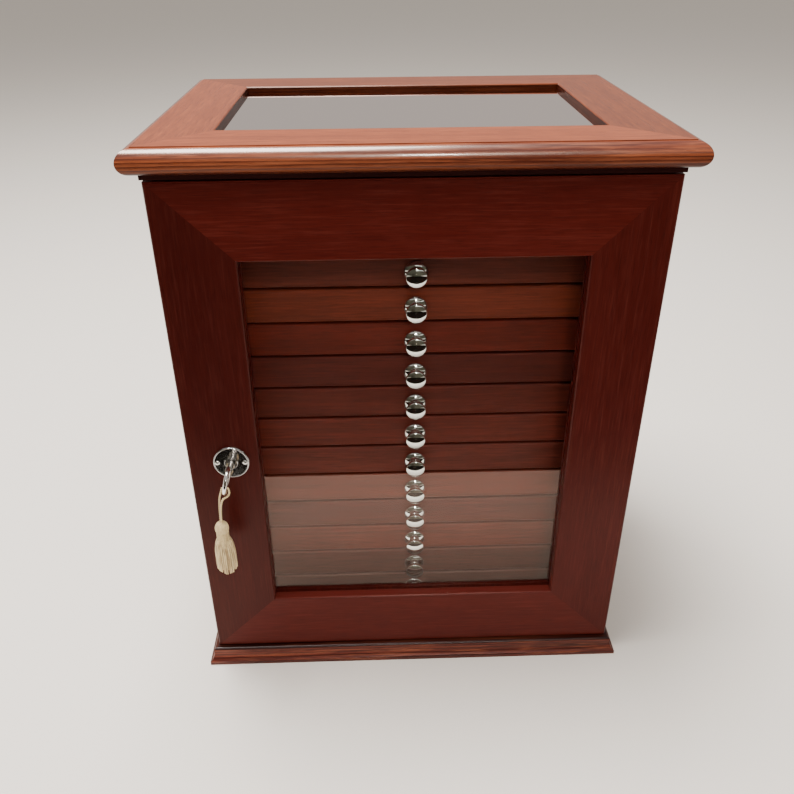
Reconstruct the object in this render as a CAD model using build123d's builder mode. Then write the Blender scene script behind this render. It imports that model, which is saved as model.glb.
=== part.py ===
from build123d import *
from math import cos, pi, radians, sin
import os

# Coin display cabinet: twelve shallow coin drawers behind a glazed, locking door,
# and a velvet-lined display well under a glazed lid.
# Millimetres. +Z is up, the door faces -Y, and the origin is the centre of the
# base's underside.

# Door
door_width = 320
door_height = 382
door_thickness = 20
door_stock = 50
door_lip = 7.5
door_gap = 1

# Carcass
body_depth = 232
side_board = 15
back_board = 6
bottom_board = 13
panel_gap = 0.5

# Base
base_height = 14
base_overhang = 7.5
base_square = 3
base_step = 0.7
base_top_inset = 3.6
base_cove = 3.3
base_arris = 2.2

# Lid and the thin panel under it
lid_overhang = 10.5
lid_thickness = 16
lid_stock = 49
lid_lip = 4
lid_quirk = 0.5
top_panel_thickness = 3.5
top_panel_proud = 1.5

# Glass, its rebate and its beads
glass_thickness = 3
rebate = 7
glass_play = 1
bead_depth = 5
bead_round = 3
arris = 0.8

# Drawers
drawer_count = 12
drawer_pitch = 25.9
drawer_gap = 1.8
drawer_setback = 18
drawer_front = 10
drawer_board = 8
drawer_length = 178
drawer_side_play = 1
floor_board = 3
floor_groove = 3
floor_rise = 1
runner_thickness = 3
runner_width = 7
runner_play = 0.1
runner_start = 1
tray_side_play = 1.5
tray_top_drop = 1
insert_thickness = 5
pocket_depth = 3.4
pocket_rib = 4
pocket_corner = 2

# Drawer knobs
knob_x = 2.6
knob_drop = 2
head_radius = 7.3
head_reach = 11.3
head_dome = 2.3
head_rim = 0.8
rosette_radius = 8.2
rosette_rim = 0.9
rosette_height = 3.4
knob_neck = 3
knob_screw = 1.9
knob_screw_length = 8
screw_play = 0.1

# Display well
well_floor = 6
well_front = 12
well_wall = 8
lining_thickness = 1.2
lining_drop = 2

# Hinges
knuckle_radius = 2.5
knuckle_clear = 0.25
pin_radius = 1.25
pin_play = 0.05
leaf_length = 38
leaf_width = 12
leaf_thickness = 1.2
middle_knuckle = 12.6
knuckle_spacing = 0.2
hinge_screw_x = 5.6
hinge_screw_z = 11
hinge_screw_radius = 0.9
hinge_screw_head = 1.9
hinge_screw_length = 8
hinge_screw_taper = 40
door_hinge_heights = (70, 342)
lid_hinge_places = (-105, 105)

# Lock, on the left stile
lock_x = -129.6
lock_z = 198.4
plate_radius = 12.5
plate_thickness = 1.6
barrel_radius = 6
plug_radius = 4.85
plug_play = 0.05
plug_proud = 0.8
plug_bevel = 0.5
plug_tail = 5
barrel_back = 25.5
cam_thickness = 2
cam_length = 20
cam_half_width = 4
cam_round = 6.4
cam_play = 0.1
rivet_radius = 3.6
rivet_thickness = 1
plate_screw_x = 9.8
plate_screw_head = 1.8
plate_screw_dome = 0.9
plate_screw_shank = 1
plate_screw_length = 8
mortise_depth = 6
mortise_width = 6
mortise_below = 16
mortise_above = 6

# Key: a round shank with a ring bow, standing turned a little clockwise
key_turned = 12
key_shank = 2.1
key_inside = 14
keyhole_play = 0.1
keyhole_end = 1
bow_reach = 22.5
bow_radius = 8.8
bow_wire = 1.4
collar_radius = 2.9
collar_length = 2
collar_start = 1
bit_thickness = 1.2
bit_height = 4
bit_length = 4

# Tassel and its cord
cord_diameter = 1.5
cord_clear = 0.3
cord_embed = 1.5
cord_apart = (0.45, 0.7)
tassel_shift = -6.3
tassel_drop = 27.7

# The tassel's outline as (radius, distance below its top)
tassel_top = (1.9, 0)
tassel_shoulder = (3.8, 1.2)
tassel_head = (4.8, 4)
tassel_head_end = (4.6, 7)
tassel_neck = (4.1, 9)
tassel_neck_end = (4.3, 13.5)
tassel_flare = (6.1, 18)
tassel_hip = (7, 23)
tassel_skirt = (7.6, 37)
tassel_end = (6.9, 43.2)

# Levels and planes worked out from the above
door_front = -body_depth / 2
door_back = door_front + door_thickness
carcass_front = door_back + panel_gap
carcass_back = body_depth / 2
door_bottom = base_height + door_gap
door_top = door_bottom + door_height
inner_x = door_width / 2 - side_board
panel_bottom = door_top + door_gap
panel_top = panel_bottom + top_panel_thickness
lid_bottom = panel_top + panel_gap
stack_bottom = base_height + bottom_board
stack_top = stack_bottom + drawer_count * drawer_pitch + drawer_gap
drawer_face = carcass_front + drawer_setback
drawer_back = drawer_face + drawer_length
back_inside = carcass_back - back_board
well_x = inner_x - well_wall
well_y = (carcass_front + well_front, back_inside - well_wall)
lid_width = door_width + 2 * lid_overhang
lid_depth = body_depth + 2 * lid_overhang
hinge_offset = knuckle_radius + knuckle_clear
leaf_start = knuckle_radius + knuckle_clear / 2
leaf_level = (panel_gap + leaf_thickness) / 2

os.makedirs("parts", exist_ok=True)


def save(piece, name):
    piece.label = name
    export_step(piece, f"parts/{name}.step")


def group(pieces):
    """Separate solids that share one node."""
    return Compound([solid for piece in pieces for solid in piece.solids()])


def board(x, y, z):
    """A plain board between two x, two y and two z values."""
    with BuildPart() as piece:
        with BuildSketch(Plane.XY.offset(z[0])):
            with Locations(((x[0] + x[1]) / 2, (y[0] + y[1]) / 2)):
                Rectangle(x[1] - x[0], y[1] - y[0])
        extrude(amount=z[1] - z[0])
    return piece.part


def mitred_rim(centre, width, depth, stock, section):
    """Four members mitred round a rectangle: section draws one member's cross-section,
    with x running inwards from the outer edge and y along the centre plane's normal."""
    members = []
    for quarter, along in enumerate((centre.x_dir, centre.y_dir, -centre.x_dir, -centre.y_dir)):
        turned = Plane(centre.origin, x_dir=along, z_dir=centre.z_dir)
        length, reach = (depth, width / 2) if quarter % 2 else (width, depth / 2)
        corner = centre.origin - turned.y_dir * reach
        side = Plane(corner, x_dir=turned.x_dir, z_dir=turned.z_dir)
        across = Plane(corner, x_dir=turned.y_dir, z_dir=turned.x_dir)
        with BuildPart() as member:
            with BuildSketch(across):
                section()
            extrude(amount=length / 2, both=True)
            with BuildSketch(side):
                Polygon(
                    (-length / 2, 0),
                    (length / 2, 0),
                    (length / 2 - stock, stock),
                    (stock - length / 2, stock),
                    align=None,
                )
            extrude(amount=door_thickness, mode=Mode.INTERSECT)
        members.append(member.part)
    return members


def door_section():
    edge, back = door_stock - rebate, door_thickness
    Polygon(
        (arris, 0),
        (door_stock - arris, 0),
        (door_stock, arris),
        (door_stock, door_lip),
        (edge, door_lip),
        (edge, back),
        (0, back),
        (0, arris),
        align=None,
    )


def lid_section():
    """Half-round nosing outside with a fine quirk above it, rebate for the glass below."""
    nose = (lid_thickness - lid_quirk) / 2
    edge = lid_stock - rebate
    under_lip = lid_thickness - lid_lip
    with BuildLine() as outline:
        ThreePointArc((nose, 0), (0, nose), (nose, 2 * nose))
        Polyline(
            (nose, 2 * nose),
            (nose, lid_thickness),
            (lid_stock - arris, lid_thickness),
            (lid_stock, lid_thickness - arris),
            (lid_stock, under_lip),
            (edge, under_lip),
            (edge, 0),
            (nose, 0),
        )
    make_face(outline.edges())


def bead_section():
    """A square strip with its free corner rounded, drawn from the glass outwards."""
    with BuildLine() as outline:
        Polyline(
            (rebate, bead_depth - bead_round),
            (rebate, 0),
            (0, 0),
            (0, bead_depth),
            (rebate - bead_round, bead_depth),
        )
        RadiusArc(
            (rebate - bead_round, bead_depth),
            (rebate, bead_depth - bead_round),
            bead_round,
        )
    make_face(outline.edges())


def hinge_leaf(hinge, side):
    """One leaf of a butt hinge. The hinge's plane has its origin in the pin, x running
    over the leaves and y towards the moving leaf, whose side is 1; the fixed one's is -1."""
    half = leaf_length / 2
    middle = middle_knuckle / 2
    outer = middle + knuckle_spacing
    spans = [(-middle, middle)] if side == 1 else [(-half, -outer), (outer, half)]
    with BuildPart() as leaf:
        with BuildSketch(hinge.offset(-half)):
            with Locations((leaf_start + leaf_width / 2, side * leaf_level)):
                Rectangle(leaf_width, leaf_thickness)
        extrude(amount=leaf_length)
        for low, high in spans:
            with BuildSketch(hinge.offset(low)):
                Circle(knuckle_radius)
                with Locations((leaf_start, side * leaf_level)):
                    Rectangle(2 * pin_radius, leaf_thickness)
            extrude(amount=high - low)
        with BuildSketch(hinge.offset(-half)):
            Circle(pin_radius + pin_play)
        extrude(amount=leaf_length, mode=Mode.SUBTRACT)
        with BuildSketch(screw_plane(hinge, side)):
            with Locations((hinge_screw_x, -hinge_screw_z), (hinge_screw_x, hinge_screw_z)):
                Circle(hinge_screw_head + screw_play)
        extrude(amount=leaf_thickness, taper=hinge_screw_taper, mode=Mode.SUBTRACT)
    return leaf.part


def screw_plane(hinge, side):
    """The outer face of a leaf, with its normal running into the wood."""
    face = hinge.origin + hinge.y_dir * side * panel_gap / 2
    return Plane(face, x_dir=hinge.x_dir, z_dir=hinge.y_dir * side)


def hinge_screws(hinge, side):
    screws = []
    for z in (-hinge_screw_z, hinge_screw_z):
        with BuildPart() as screw:
            with BuildSketch(screw_plane(hinge, side)):
                with Locations((hinge_screw_x, z)):
                    Circle(hinge_screw_head)
            extrude(amount=leaf_thickness, taper=hinge_screw_taper)
            with BuildSketch(screw_plane(hinge, side)):
                with Locations((hinge_screw_x, z)):
                    Circle(hinge_screw_radius)
            extrude(amount=hinge_screw_length)
        screws.append(screw.part)
    return screws


def hinge_pin(hinge):
    with BuildPart() as pin:
        with BuildSketch(hinge.offset(-leaf_length / 2)):
            Circle(pin_radius)
        extrude(amount=leaf_length)
    return pin.part


def seat_leaf(hinge, side):
    """Cuts a leaf's mortise and its screw holes in the board being made."""
    reach = leaf_start + leaf_width
    with BuildSketch(hinge.offset(-leaf_length / 2)) as mortise:
        with Locations((reach / 2, side * leaf_level)):
            Rectangle(reach, leaf_thickness)
    extrude(mortise.sketch, amount=leaf_length, mode=Mode.SUBTRACT)
    with BuildSketch(screw_plane(hinge, side)) as holes:
        with Locations((hinge_screw_x, -hinge_screw_z), (hinge_screw_x, hinge_screw_z)):
            Circle(hinge_screw_radius + screw_play)
    extrude(holes.sketch, amount=hinge_screw_length + screw_play, mode=Mode.SUBTRACT)


door_hinges = [
    Plane(
        (door_width / 2 + hinge_offset, door_back + panel_gap / 2, height),
        x_dir=(-1, 0, 0),
        z_dir=(0, 0, 1),
    )
    for height in door_hinge_heights
]
lid_hinges = [
    Plane(
        (place, carcass_back + hinge_offset, lid_bottom - panel_gap / 2),
        x_dir=(0, -1, 0),
        z_dir=(-1, 0, 0),
    )
    for place in lid_hinge_places
]


# Base board, its four edges moulded: a small square, a shallow cove and a round arris
def base_half_section(half):
    top_edge = half - base_top_inset
    cove_top = base_height - base_arris
    cove_middle = (base_square + cove_top) / 2
    with BuildLine() as outline:
        Polyline(
            (0, base_height),
            (0, 0),
            (half, 0),
            (half, base_square),
            (half - base_step, base_square),
        )
        ThreePointArc(
            (half - base_step, base_square),
            (half - base_cove, cove_middle),
            (top_edge, cove_top),
        )
        ThreePointArc(
            (top_edge, cove_top),
            (top_edge - base_arris * (1 - cos(radians(45))), cove_top + base_arris * sin(radians(45))),
            (top_edge - base_arris, base_height),
        )
        Line((top_edge - base_arris, base_height), (0, base_height))
    make_face(outline.edges())
    mirror(about=Plane.YZ)


with BuildPart() as base_board:
    with BuildSketch(Plane.YZ):
        base_half_section(body_depth / 2 + base_overhang)
    extrude(amount=door_width, both=True)
    with BuildSketch(Plane.XZ):
        base_half_section(door_width / 2 + base_overhang)
    extrude(amount=body_depth, both=True, mode=Mode.INTERSECT)
save(base_board.part, "base_board")

# Carcass boards
bottom = board((-inner_x, inner_x), (carcass_front, back_inside), (base_height, stack_bottom))
save(bottom, "carcass_bottom")

with BuildPart() as side_panel_left:
    add(board((-door_width / 2, -inner_x), (carcass_front, carcass_back), (base_height, panel_bottom)))
    cam_level = door_front + barrel_back + cam_thickness / 2
    with BuildSketch(Plane.YZ.offset(-inner_x - mortise_depth)):
        with Locations((cam_level, lock_z + (mortise_above - mortise_below) / 2)):
            Rectangle(mortise_width, mortise_above + mortise_below)
    extrude(amount=mortise_depth, mode=Mode.SUBTRACT)
save(side_panel_left.part, "side_panel_left")

with BuildPart() as side_panel_right:
    add(board((inner_x, door_width / 2), (carcass_front, carcass_back), (base_height, panel_bottom)))
    for hinge in door_hinges:
        seat_leaf(hinge, -1)
save(side_panel_right.part, "side_panel_right")

with BuildPart() as back_panel:
    add(board((-inner_x, inner_x), (back_inside, carcass_back), (base_height, panel_bottom)))
    for hinge in lid_hinges:
        seat_leaf(hinge, -1)
save(back_panel.part, "back_panel")

panel_x = door_width / 2 + top_panel_proud
with BuildPart() as top_panel:
    add(board((-panel_x, panel_x), (door_front + door_gap, carcass_back), (panel_bottom, panel_top)))
    with BuildSketch(Plane.XY.offset(panel_bottom)):
        with Locations((0, sum(well_y) / 2)):
            Rectangle(2 * well_x, well_y[1] - well_y[0])
    extrude(amount=top_panel_thickness, mode=Mode.SUBTRACT)
    for hinge in lid_hinges:
        seat_leaf(hinge, -1)
save(top_panel.part, "top_panel")

# Display well: a floor and four walls, lined with velvet-covered card
floor_top = stack_top + well_floor
walls_z = (floor_top, panel_bottom)
well = [
    board((-inner_x, inner_x), (carcass_front, back_inside), (stack_top, floor_top)),
    board((-inner_x, inner_x), (carcass_front, well_y[0]), walls_z),
    board((-inner_x, inner_x), (well_y[1], back_inside), walls_z),
    board((-inner_x, -well_x), well_y, walls_z),
    board((well_x, inner_x), well_y, walls_z),
]
save(group(well), "display_well")

lining_z = (floor_top + lining_thickness, panel_bottom - lining_drop)
side_lining_y = (well_y[0] + lining_thickness, well_y[1] - lining_thickness)
lining = [
    board((-well_x, well_x), well_y, (floor_top, floor_top + lining_thickness)),
    board((-well_x, well_x), (well_y[0], side_lining_y[0]), lining_z),
    board((-well_x, well_x), (side_lining_y[1], well_y[1]), lining_z),
    board((-well_x, lining_thickness - well_x), side_lining_y, lining_z),
    board((well_x - lining_thickness, well_x), side_lining_y, lining_z),
]
save(group(lining), "well_lining")


# Drawers, the first one at the top
def drawer_bottom(number):
    return stack_bottom + drawer_gap + (drawer_count - number) * drawer_pitch


def drawer_tray(low):
    """Front, floor, two grooved sides and a back that stands on the floor."""
    front_x = inner_x - drawer_side_play
    tray_x = inner_x - tray_side_play
    high = low + drawer_pitch - drawer_gap
    front_back = drawer_face + drawer_front
    tray_low = low + runner_thickness + runner_play
    tray_high = high - tray_top_drop
    floor_low = tray_low + floor_rise
    floor_high = floor_low + floor_board
    inside_x = tray_x - drawer_board
    with BuildPart() as front:
        add(board((-front_x, front_x), (drawer_face, front_back), (low, high)))
        chamfer(front.faces().sort_by(Axis.Y)[0].edges(), arris)
        with BuildSketch(Plane.XZ.offset(-drawer_face)):
            with Locations((knob_x, (low + high) / 2 - knob_drop)):
                Circle(knob_screw + screw_play)
        extrude(amount=-knob_screw_length - screw_play, mode=Mode.SUBTRACT)
    pieces = [front.part]
    for sign in (-1, 1):
        with BuildPart() as side:
            with BuildSketch(Plane.XY.offset(tray_low)):
                with Locations((sign * (inside_x + drawer_board / 2), (front_back + drawer_back) / 2)):
                    Rectangle(drawer_board, drawer_back - front_back)
            extrude(amount=tray_high - tray_low)
            with BuildSketch(Plane.XY.offset(floor_low)):
                with Locations((sign * (inside_x + floor_groove / 2), (front_back + drawer_back) / 2)):
                    Rectangle(floor_groove, drawer_back - front_back)
            extrude(amount=floor_board, mode=Mode.SUBTRACT)
        pieces.append(side.part)
    floor_x = inside_x + floor_groove
    pieces.append(board((-floor_x, floor_x), (front_back, drawer_back), (floor_low, floor_high)))
    back_y = (drawer_back - drawer_board, drawer_back)
    pieces.append(board((-inside_x, inside_x), back_y, (floor_high, tray_high)))
    return group(pieces)


def coin_insert(low, columns, rows):
    """A velvet-covered board with square pockets for coins."""
    inside_x = inner_x - tray_side_play - drawer_board
    inside_y = (drawer_face + drawer_front, drawer_back - drawer_board)
    base = low + runner_thickness + runner_play + floor_rise + floor_board
    pitch_x = (2 * inside_x - pocket_rib) / columns
    pitch_y = (inside_y[1] - inside_y[0] - pocket_rib) / rows
    with BuildPart() as insert:
        add(board((-inside_x, inside_x), inside_y, (base, base + insert_thickness)))
        with BuildSketch(Plane.XY.offset(base + insert_thickness)):
            with Locations((0, sum(inside_y) / 2)):
                with GridLocations(pitch_x, pitch_y, columns, rows):
                    RectangleRounded(pitch_x - pocket_rib, pitch_y - pocket_rib, pocket_corner)
        extrude(amount=-pocket_depth, mode=Mode.SUBTRACT)
    return insert.part


def chrome_knob(low):
    """A flattened round head on a neck and a domed rosette, with its fixing screw behind."""
    middle = low + (drawer_pitch - drawer_gap) / 2 - knob_drop
    outwards = Plane((knob_x, drawer_face, middle), x_dir=(1, 0, 0), z_dir=(0, 0, -1))
    crown = (head_radius**2 + head_dome**2) / (2 * head_dome)
    with BuildPart() as knob:
        with BuildSketch(outwards):
            with BuildLine():
                Polyline(
                    (0, -knob_screw_length),
                    (knob_screw, -knob_screw_length),
                    (knob_screw, 0),
                    (rosette_radius, 0),
                    (rosette_radius, rosette_rim),
                )
                RadiusArc(
                    (rosette_radius, rosette_rim),
                    (knob_neck, rosette_height),
                    -rosette_radius,
                )
                Line((knob_neck, rosette_height), (knob_neck, head_reach / 2))
                RadiusArc(
                    (knob_neck, head_reach / 2),
                    (head_radius, head_reach - head_rim),
                    -head_radius,
                )
                Line((head_radius, head_reach - head_rim), (head_radius, head_reach))
                RadiusArc((head_radius, head_reach), (0, head_reach + head_dome), -crown)
                Line((0, head_reach + head_dome), (0, -knob_screw_length))
            make_face()
        revolve(axis=Axis(outwards.origin, outwards.y_dir))
    return knob.part


def pocket_grid(number):
    """Small coins in the upper drawers, large ones in the lower."""
    if number <= 4:
        return 8, 5
    if number <= 8:
        return 7, 4
    return 6, 4


runners = []
for number in range(1, drawer_count + 1):
    low = drawer_bottom(number)
    name = f"drawer_{number:02d}"
    save(drawer_tray(low), name)
    save(coin_insert(low, *pocket_grid(number)), f"{name}_insert")
    save(chrome_knob(low), f"{name}_knob")
    runner_y = (drawer_face + drawer_front + runner_start, back_inside)
    runner_z = (low, low + runner_thickness)
    runners.append(board((-inner_x, runner_width - inner_x), runner_y, runner_z))
    runners.append(board((inner_x - runner_width, inner_x), runner_y, runner_z))
save(group(runners), "drawer_runners")

# Door frame, with the lock's holes in its left stile and the hinge seats in its right one
door_centre = Plane(
    (0, door_front, door_bottom + door_height / 2), x_dir=(-1, 0, 0), z_dir=(0, 1, 0)
)
bottom_rail, left_stile, top_rail, right_stile = mitred_rim(
    door_centre, door_width, door_height, door_stock, door_section
)
lock_face = Plane((lock_x, door_front, lock_z), x_dir=(1, 0, 0), z_dir=(0, -1, 0))
with BuildPart() as lock_stile:
    add(left_stile)
    with BuildSketch(lock_face):
        Circle(barrel_radius + plug_play)
    extrude(amount=-door_thickness, mode=Mode.SUBTRACT)
    with BuildSketch(lock_face):
        with Locations((-plate_screw_x, 0), (plate_screw_x, 0)):
            Circle(plate_screw_shank + screw_play)
    extrude(amount=-plate_screw_length - screw_play, mode=Mode.SUBTRACT)
with BuildPart() as hinge_stile:
    add(right_stile)
    for hinge in door_hinges:
        seat_leaf(hinge, 1)
save(group([bottom_rail, lock_stile.part, top_rail, hinge_stile.part]), "door_frame")

opening_width = door_width - 2 * door_stock
opening_height = door_height - 2 * door_stock
glass_edge = rebate - glass_play
with BuildPart() as door_glass:
    with BuildSketch(Plane(door_centre.origin + (0, door_lip, 0), x_dir=(-1, 0, 0), z_dir=(0, 1, 0))):
        Rectangle(opening_width + 2 * glass_edge, opening_height + 2 * glass_edge)
    extrude(amount=glass_thickness)
save(door_glass.part, "door_glass")

bead_centre = Plane(
    door_centre.origin + (0, door_lip + glass_thickness, 0), x_dir=(-1, 0, 0), z_dir=(0, 1, 0)
)
save(
    group(
        mitred_rim(
            bead_centre,
            opening_width + 2 * rebate,
            opening_height + 2 * rebate,
            rebate,
            bead_section,
        )
    ),
    "door_beads",
)

# Lid frame, with the hinges' seats and the rounds that clear their knuckles in its back
lid_centre = Plane((0, 0, lid_bottom), x_dir=(1, 0, 0), z_dir=(0, 0, 1))
lid_front, lid_right, lid_back, lid_left = mitred_rim(
    lid_centre, lid_width, lid_depth, lid_stock, lid_section
)
with BuildPart() as hinged_member:
    add(lid_back)
    for hinge in lid_hinges:
        seat_leaf(hinge, 1)
        with BuildSketch(hinge.offset(-leaf_length / 2 - knuckle_spacing)):
            Circle(hinge_offset + knuckle_clear / 2)
        extrude(amount=leaf_length + 2 * knuckle_spacing, mode=Mode.SUBTRACT)
save(group([lid_front, lid_right, hinged_member.part, lid_left]), "lid_frame")

lid_opening_width = lid_width - 2 * lid_stock
lid_opening_depth = lid_depth - 2 * lid_stock
lid_glass_bottom = lid_bottom + lid_thickness - lid_lip - glass_thickness
with BuildPart() as lid_glass:
    with BuildSketch(Plane.XY.offset(lid_glass_bottom)):
        Rectangle(lid_opening_width + 2 * glass_edge, lid_opening_depth + 2 * glass_edge)
    extrude(amount=glass_thickness)
save(lid_glass.part, "lid_glass")

lid_bead_centre = Plane((0, 0, lid_glass_bottom), x_dir=(1, 0, 0), z_dir=(0, 0, -1))
save(
    group(
        mitred_rim(
            lid_bead_centre,
            lid_opening_width + 2 * rebate,
            lid_opening_depth + 2 * rebate,
            rebate,
            bead_section,
        )
    ),
    "lid_beads",
)

# Hinges
save(
    group(
        [
            piece
            for hinge in door_hinges + lid_hinges
            for piece in (hinge_leaf(hinge, -1), hinge_pin(hinge), *hinge_screws(hinge, -1))
        ]
    ),
    "fixed_hinge_leaves",
)
for hinges, name in ((door_hinges, "door_hinge_leaves"), (lid_hinges, "lid_hinge_leaves")):
    moving = [
        piece for hinge in hinges for piece in (hinge_leaf(hinge, 1), *hinge_screws(hinge, 1))
    ]
    save(group(moving), name)

# Lock case: a round plate in one piece with the barrel through the stile, and two screws
with BuildPart() as lock_case:
    with BuildSketch(lock_face):
        Circle(plate_radius)
    extrude(amount=plate_thickness)
    chamfer(lock_case.faces().sort_by(Axis.Y)[0].edges(), arris)
    with BuildSketch(lock_face):
        Circle(barrel_radius)
    extrude(amount=-barrel_back)
    with BuildSketch(lock_face.offset(plate_thickness)):
        Circle(plug_radius + plug_play)
    extrude(amount=-plate_thickness - barrel_back, mode=Mode.SUBTRACT)
    with BuildSketch(lock_face):
        with Locations((-plate_screw_x, 0), (plate_screw_x, 0)):
            Circle(plate_screw_shank + screw_play)
    extrude(amount=plate_thickness, mode=Mode.SUBTRACT)
lock_pieces = [lock_case.part]
for sign in (-1, 1):
    screw_face = Plane(
        lock_face.origin + (sign * plate_screw_x, -plate_thickness, 0),
        x_dir=(1, 0, 0),
        z_dir=(0, 0, -1),
    )
    with BuildPart() as plate_screw:
        with BuildSketch(screw_face):
            with BuildLine():
                Polyline(
                    (0, plate_screw_dome),
                    (0, -plate_thickness - plate_screw_length),
                    (plate_screw_shank, -plate_thickness - plate_screw_length),
                    (plate_screw_shank, 0),
                    (plate_screw_head, 0),
                )
                RadiusArc(
                    (plate_screw_head, 0),
                    (0, plate_screw_dome),
                    -(plate_screw_head**2 + plate_screw_dome**2) / (2 * plate_screw_dome),
                )
            make_face()
        revolve(axis=Axis(screw_face.origin, screw_face.y_dir))
    lock_pieces.append(plate_screw.part)
save(group(lock_pieces), "lock_case")

# Plug, with its keyhole; the key stands in it, turned a little from upright
key_down = Vector(-sin(radians(key_turned)), 0, -cos(radians(key_turned)))
key_across = Vector(cos(radians(key_turned)), 0, -sin(radians(key_turned)))
key_face = Plane(lock_face.origin, x_dir=key_across, z_dir=(0, -1, 0))
with BuildPart() as lock_plug:
    with BuildSketch(key_face.offset(plate_thickness + plug_proud)):
        Circle(plug_radius)
    extrude(amount=-plate_thickness - plug_proud - barrel_back)
    chamfer(lock_plug.faces().sort_by(Axis.Y)[0].edges(), plug_bevel)
    with BuildSketch(key_face.offset(-barrel_back)):
        Rectangle(plug_tail, plug_tail)
    extrude(amount=-cam_thickness)
    with BuildSketch(key_face.offset(-barrel_back - cam_thickness)):
        Circle(rivet_radius)
    extrude(amount=-rivet_thickness)
    with BuildSketch(key_face.offset(plate_thickness + plug_proud)):
        Circle(key_shank + keyhole_play)
        with Locations((0, -bit_height / 2)):
            Rectangle(bit_thickness + 2 * keyhole_play, bit_height + 2 * keyhole_play)
    extrude(amount=-plate_thickness - plug_proud - key_inside - keyhole_end, mode=Mode.SUBTRACT)
save(lock_plug.part, "lock_plug")

cam_face = Plane(
    lock_face.origin + (0, barrel_back, 0), x_dir=(1, 0, 0), z_dir=(0, 1, 0)
)
with BuildPart() as lock_cam:
    with BuildSketch(cam_face):
        Circle(cam_round)
        with Locations((0, cam_length / 2)):
            Rectangle(2 * cam_half_width, cam_length)
    extrude(amount=cam_thickness)
    with BuildSketch(key_face.offset(-barrel_back)):
        Rectangle(plug_tail + 2 * cam_play, plug_tail + 2 * cam_play)
    extrude(amount=-cam_thickness, mode=Mode.SUBTRACT)
save(lock_cam.part, "lock_cam")

# Key
bow_centre = lock_face.origin + (0, -bow_reach, 0)
bow_section = Plane(bow_centre, x_dir=(0, -1, 0), z_dir=-key_down)
with BuildPart() as key:
    with BuildSketch(key_face.offset(-key_inside)):
        Circle(key_shank)
    extrude(amount=key_inside + bow_reach - bow_radius)
    inner_collar = plate_thickness + plug_proud + collar_start
    outer_collar = bow_reach - bow_radius - bow_wire - collar_length
    for reach in (inner_collar, outer_collar):
        with BuildSketch(key_face.offset(reach)):
            Circle(collar_radius)
        extrude(amount=collar_length)
    with BuildSketch(key_face.offset(-key_inside)):
        with Locations((0, -bit_height / 2)):
            Rectangle(bit_thickness, bit_height)
    extrude(amount=bit_length)
    with BuildSketch(bow_section):
        with Locations((bow_radius, 0)):
            Circle(bow_wire)
    revolve(axis=Axis(bow_centre, bow_section.y_dir))
save(key.part, "key")

# Tassel cord: one turn round the lowest point of the bow, both ends in the tassel's head
wire = bow_centre + key_down * bow_radius
loop = bow_wire + cord_clear + cord_diameter / 2
head_x = wire.X + tassel_shift
head_top = wire.Z - tassel_drop
cord_end = cord_embed + tassel_drop
cord_places = [
    (tassel_shift - cord_apart[0], cord_apart[1], -cord_end),
    (-5.9, 0.9, -8.6),
    (-3.4, 0.9, -1.8),
    (-loop, 0.5, loop),
    (loop, 0, loop),
    (loop, -0.5, -4.6),
    (-5.2, -0.8, -7.8),
    (tassel_shift + cord_apart[0], -cord_apart[1], -cord_end),
]
cord_points = [(wire.X + x, wire.Y + y, wire.Z + z) for x, y, z in cord_places]


def bend_radii(points):
    """Arcs as large as the runs beside each corner allow."""
    radii = []
    for before, corner, after in zip(points, points[1:], points[2:]):
        run_in = Vector(corner) - Vector(before)
        run_out = Vector(after) - Vector(corner)
        half_turn = radians(run_in.get_angle(run_out) / 2)
        shorter = min(run_in.length, run_out.length)
        radii.append(0.45 * shorter * cos(half_turn) / sin(half_turn))
    return radii


cord_radii = bend_radii(cord_points)
print("cord radii", [round(radius, 1) for radius in cord_radii])
with BuildPart() as tassel_cord:
    with BuildLine() as cord_route:
        FilletPolyline(*cord_points, radius=cord_radii)
    with BuildSketch(Plane(cord_points[0], z_dir=Vector(cord_points[1]) - Vector(cord_points[0]))):
        Circle(cord_diameter / 2)
    sweep()
cord_length = cord_route.wire().length
print("cord length", round(cord_length, 1), "volume", round(tassel_cord.part.volume, 1))
print("section times length", round(cord_length * pi * cord_diameter**2 / 4, 1))
save(tassel_cord.part, "tassel_cord")

# Tassel: a wound head, a bound neck and a skirt of strands as one plain solid
head_face = Plane((head_x, wire.Y, head_top), x_dir=(1, 0, 0), z_dir=(0, 1, 0))
with BuildPart() as tassel:
    with BuildSketch(head_face):
        with BuildLine():
            Line((0, 0), tassel_top)
            ThreePointArc(tassel_top, tassel_shoulder, tassel_head)
            Polyline(tassel_head, tassel_head_end, tassel_neck, tassel_neck_end)
            ThreePointArc(tassel_neck_end, tassel_flare, tassel_hip)
            Polyline(tassel_hip, tassel_skirt, tassel_end, (0, tassel_end[1]), (0, 0))
        make_face()
    revolve(axis=Axis(head_face.origin, head_face.y_dir))
    for corner, end in ((cord_points[1], cord_points[0]), (cord_points[-2], cord_points[-1])):
        leg = Vector(corner) - Vector(end)
        with BuildSketch(Plane(end, z_dir=leg.normalized())):
            Circle(cord_diameter / 2)
        extrude(amount=2 * cord_embed, mode=Mode.SUBTRACT)
save(tassel.part, "tassel")
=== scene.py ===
import math
import random

import bmesh
import bpy
from mathutils import Matrix, Vector


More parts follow.
